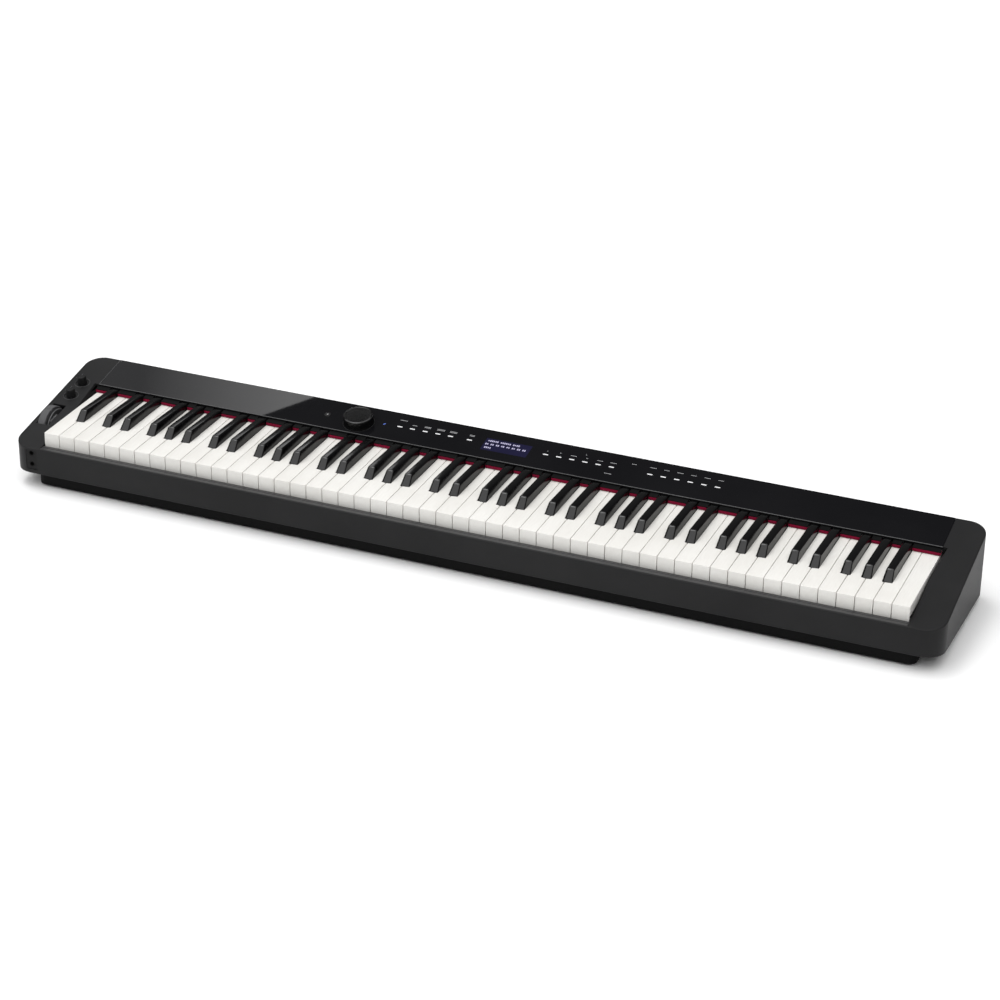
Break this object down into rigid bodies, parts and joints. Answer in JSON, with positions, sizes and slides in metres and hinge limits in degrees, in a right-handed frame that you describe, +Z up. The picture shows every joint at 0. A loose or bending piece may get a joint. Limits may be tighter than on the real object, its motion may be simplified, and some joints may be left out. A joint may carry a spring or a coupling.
{
  "type": "digital piano",
  "caption": "Slim weighted-key digital piano: low black case with sloping top, full keyboard, touch panel, volume knob, pitch wheel, two small knobs and jack sockets; stands on rubber feet.",
  "frame": {"origin": "centre of the footprint, on the surface the rubber feet stand on", "axes": "+X to the player's right along the keyboard, +Y away from the player, +Z up"},
  "size_m": [1.322, 0.232, 0.1115],
  "materials": {
    "ebony": "satin",
    "ivory": "satin gloss",
    "hammer_metal": "matte",
    "case_black": "satin",
    "tray_black": "fine texture",
    "rubber": "matte",
    "panel_black": "gloss",
    "red_felt": "felt",
    "display": "gloss",
    "module": "matte",
    "knob_black": "satin",
    "wheel_grey": "satin",
    "steel": "zinc",
    "brass": "machined",
    "socket_black": "matte",
    "chassis_grey": "matte",
    "grey_felt": "felt",
    "board_green": "satin",
    "contact_grey": "matte",
    "cone_black": "matte",
    "magnet": "matte"
  },
  "bodies": {
    "case": {"battery_box": "chassis_grey", "case_screws": "steel", "contact_rubber": "contact_grey", "control_panel": "panel_black", "display_module": "module", "display_window": "display", "hammer_rest_felt": "grey_felt", "headphone_jacks": "socket_black", "headphone_plate": "socket_black", "key_chassis": "chassis_grey", "key_felt": "red_felt", "key_sensor_board": "board_green", "key_stop_felt": "grey_felt", "knob_pots": "module", "lower_case": "tray_black", "main_board": "board_green", "panel_board": "board_green", "panel_skirt": "panel_black", "power_inlet": "socket_black", "power_switch": "module", "rear_jack_plate": "socket_black", "rear_jacks": "socket_black", "rubber_feet": "rubber", "speaker_cones": "cone_black", "speaker_frames": "chassis_grey", "speaker_magnets": "magnet", "stand_inserts": "brass", "upper_case": "case_black", "volume_encoder": "module", "wheel_bracket": "chassis_grey"},
    "keys_c": {"keys_c": "ivory"},
    "keys_c_sharp": {"keys_c_sharp": "ebony"},
    "keys_d": {"keys_d": "ivory"},
    "keys_d_sharp": {"keys_d_sharp": "ebony"},
    "keys_e": {"keys_e": "ivory"},
    "keys_f": {"keys_f": "ivory"},
    "keys_f_sharp": {"keys_f_sharp": "ebony"},
    "keys_g": {"keys_g": "ivory"},
    "keys_g_sharp": {"keys_g_sharp": "ebony"},
    "keys_a": {"keys_a": "ivory"},
    "keys_a_sharp": {"keys_a_sharp": "ebony"},
    "keys_b": {"keys_b": "ivory"},
    "hammers_c": {"hammers_c": "hammer_metal"},
    "hammers_c_sharp": {"hammers_c_sharp": "hammer_metal"},
    "hammers_d": {"hammers_d": "hammer_metal"},
    "hammers_d_sharp": {"hammers_d_sharp": "hammer_metal"},
    "hammers_e": {"hammers_e": "hammer_metal"},
    "hammers_f": {"hammers_f": "hammer_metal"},
    "hammers_f_sharp": {"hammers_f_sharp": "hammer_metal"},
    "hammers_g": {"hammers_g": "hammer_metal"},
    "hammers_g_sharp": {"hammers_g_sharp": "hammer_metal"},
    "hammers_a": {"hammers_a": "hammer_metal"},
    "hammers_a_sharp": {"hammers_a_sharp": "hammer_metal"},
    "hammers_b": {"hammers_b": "hammer_metal"},
    "volume_knob": {"volume_knob": "knob_black"},
    "knob_rear": {"knob_rear": "knob_black"},
    "knob_front": {"knob_front": "knob_black"},
    "pitch_wheel": {"pitch_wheel": "wheel_grey"},
    "power_button": {"power_button": "knob_black"},
    "battery_cover": {"battery_cover": "tray_black"}
  },
  "joints": [
    {"name": "press_c", "type": "hinge", "parent": "case", "child": "keys_c", "pos_m": [0, 0.0887, 0.0718], "axis": [1, 0, 0], "range_deg": [0, 3], "stiffness_Nm_per_rad": 2.5, "springref_deg": -51.57},
    {"name": "hammer_c", "type": "hinge", "parent": "case", "child": "hammers_c", "pos_m": [0, -0.01, 0.046], "axis": [1, 0, 0], "range_deg": [0, 13.5]},
    {"name": "press_c_sharp", "type": "hinge", "parent": "case", "child": "keys_c_sharp", "pos_m": [0, 0.0887, 0.0718], "axis": [1, 0, 0], "range_deg": [0, 3], "stiffness_Nm_per_rad": 2.5, "springref_deg": -51.57},
    {"name": "hammer_c_sharp", "type": "hinge", "parent": "case", "child": "hammers_c_sharp", "pos_m": [0, -0.01, 0.046], "axis": [1, 0, 0], "range_deg": [0, 13.5]},
    {"name": "press_d", "type": "hinge", "parent": "case", "child": "keys_d", "pos_m": [0, 0.0887, 0.0718], "axis": [1, 0, 0], "range_deg": [0, 3], "stiffness_Nm_per_rad": 2.5, "springref_deg": -51.57},
    {"name": "hammer_d", "type": "hinge", "parent": "case", "child": "hammers_d", "pos_m": [0, -0.01, 0.046], "axis": [1, 0, 0], "range_deg": [0, 13.5]},
    {"name": "press_d_sharp", "type": "hinge", "parent": "case", "child": "keys_d_sharp", "pos_m": [0, 0.0887, 0.0718], "axis": [1, 0, 0], "range_deg": [0, 3], "stiffness_Nm_per_rad": 2.5, "springref_deg": -51.57},
    {"name": "hammer_d_sharp", "type": "hinge", "parent": "case", "child": "hammers_d_sharp", "pos_m": [0, -0.01, 0.046], "axis": [1, 0, 0], "range_deg": [0, 13.5]},
    {"name": "press_e", "type": "hinge", "parent": "case", "child": "keys_e", "pos_m": [0, 0.0887, 0.0718], "axis": [1, 0, 0], "range_deg": [0, 3], "stiffness_Nm_per_rad": 2.5, "springref_deg": -51.57},
    {"name": "hammer_e", "type": "hinge", "parent": "case", "child": "hammers_e", "pos_m": [0, -0.01, 0.046], "axis": [1, 0, 0], "range_deg": [0, 13.5]},
    {"name": "press_f", "type": "hinge", "parent": "case", "child": "keys_f", "pos_m": [0, 0.0887, 0.0718], "axis": [1, 0, 0], "range_deg": [0, 3], "stiffness_Nm_per_rad": 2.5, "springref_deg": -51.57},
    {"name": "hammer_f", "type": "hinge", "parent": "case", "child": "hammers_f", "pos_m": [0, -0.01, 0.046], "axis": [1, 0, 0], "range_deg": [0, 13.5]},
    {"name": "press_f_sharp", "type": "hinge", "parent": "case", "child": "keys_f_sharp", "pos_m": [0, 0.0887, 0.0718], "axis": [1, 0, 0], "range_deg": [0, 3], "stiffness_Nm_per_rad": 2.5, "springref_deg": -51.57},
    {"name": "hammer_f_sharp", "type": "hinge", "parent": "case", "child": "hammers_f_sharp", "pos_m": [0, -0.01, 0.046], "axis": [1, 0, 0], "range_deg": [0, 13.5]},
    {"name": "press_g", "type": "hinge", "parent": "case", "child": "keys_g", "pos_m": [0, 0.0887, 0.0718], "axis": [1, 0, 0], "range_deg": [0, 3], "stiffness_Nm_per_rad": 2.5, "springref_deg": -51.57},
    {"name": "hammer_g", "type": "hinge", "parent": "case", "child": "hammers_g", "pos_m": [0, -0.01, 0.046], "axis": [1, 0, 0], "range_deg": [0, 13.5]},
    {"name": "press_g_sharp", "type": "hinge", "parent": "case", "child": "keys_g_sharp", "pos_m": [0, 0.0887, 0.0718], "axis": [1, 0, 0], "range_deg": [0, 3], "stiffness_Nm_per_rad": 2.5, "springref_deg": -51.57},
    {"name": "hammer_g_sharp", "type": "hinge", "parent": "case", "child": "hammers_g_sharp", "pos_m": [0, -0.01, 0.046], "axis": [1, 0, 0], "range_deg": [0, 13.5]},
    {"name": "press_a", "type": "hinge", "parent": "case", "child": "keys_a", "pos_m": [0, 0.0887, 0.0718], "axis": [1, 0, 0], "range_deg": [0, 3], "stiffness_Nm_per_rad": 2.5, "springref_deg": -51.57},
    {"name": "hammer_a", "type": "hinge", "parent": "case", "child": "hammers_a", "pos_m": [0, -0.01, 0.046], "axis": [1, 0, 0], "range_deg": [0, 13.5]},
    {"name": "press_a_sharp", "type": "hinge", "parent": "case", "child": "keys_a_sharp", "pos_m": [0, 0.0887, 0.0718], "axis": [1, 0, 0], "range_deg": [0, 3], "stiffness_Nm_per_rad": 2.5, "springref_deg": -51.57},
    {"name": "hammer_a_sharp", "type": "hinge", "parent": "case", "child": "hammers_a_sharp", "pos_m": [0, -0.01, 0.046], "axis": [1, 0, 0], "range_deg": [0, 13.5]},
    {"name": "press_b", "type": "hinge", "parent": "case", "child": "keys_b", "pos_m": [0, 0.0887, 0.0718], "axis": [1, 0, 0], "range_deg": [0, 3], "stiffness_Nm_per_rad": 2.5, "springref_deg": -51.57},
    {"name": "hammer_b", "type": "hinge", "parent": "case", "child": "hammers_b", "pos_m": [0, -0.01, 0.046], "axis": [1, 0, 0], "range_deg": [0, 13.5]},
    {"name": "volume_turn", "type": "hinge", "parent": "case", "child": "volume_knob", "pos_m": [-0.2182, 0.07583, 0.09998], "axis": [0, -0.174, 0.9847], "range_deg": [-145, 145]},
    {"name": "knob_rear_turn", "type": "hinge", "parent": "case", "child": "knob_rear", "pos_m": [-0.64, 0.046, 0.09471], "axis": [0, -0.174, 0.9847], "range_deg": [-140, 140]},
    {"name": "knob_front_turn", "type": "hinge", "parent": "case", "child": "knob_front", "pos_m": [-0.64, 0.0138, 0.08902], "axis": [0, -0.174, 0.9847], "range_deg": [-140, 140]},
    {"name": "pitch_bend", "type": "hinge", "parent": "case", "child": "pitch_wheel", "pos_m": [-0.6475, -0.03152, 0.0541], "axis": [1, 0, 0], "range_deg": [-35, 35], "stiffness_Nm_per_rad": 0.06},
    {"name": "power_press", "type": "slide", "parent": "case", "child": "power_button", "axis": [0, 0.174, -0.9847], "range_m": [0, 0.001], "stiffness_N_per_m": 900, "springref_m": -0.001},
    {"name": "battery_cover_lift", "type": "slide", "parent": "case", "child": "battery_cover", "axis": [0, 0, -1], "range_m": [0, 0.0024]}
  ],
  "couplings": [
    {"joint": "hammer_c", "follows": "press_c", "ratio": 4.5},
    {"joint": "hammer_c_sharp", "follows": "press_c_sharp", "ratio": 4.5},
    {"joint": "hammer_d", "follows": "press_d", "ratio": 4.5},
    {"joint": "hammer_d_sharp", "follows": "press_d_sharp", "ratio": 4.5},
    {"joint": "hammer_e", "follows": "press_e", "ratio": 4.5},
    {"joint": "hammer_f", "follows": "press_f", "ratio": 4.5},
    {"joint": "hammer_f_sharp", "follows": "press_f_sharp", "ratio": 4.5},
    {"joint": "hammer_g", "follows": "press_g", "ratio": 4.5},
    {"joint": "hammer_g_sharp", "follows": "press_g_sharp", "ratio": 4.5},
    {"joint": "hammer_a", "follows": "press_a", "ratio": 4.5},
    {"joint": "hammer_a_sharp", "follows": "press_a_sharp", "ratio": 4.5},
    {"joint": "hammer_b", "follows": "press_b", "ratio": 4.5}
  ]
}
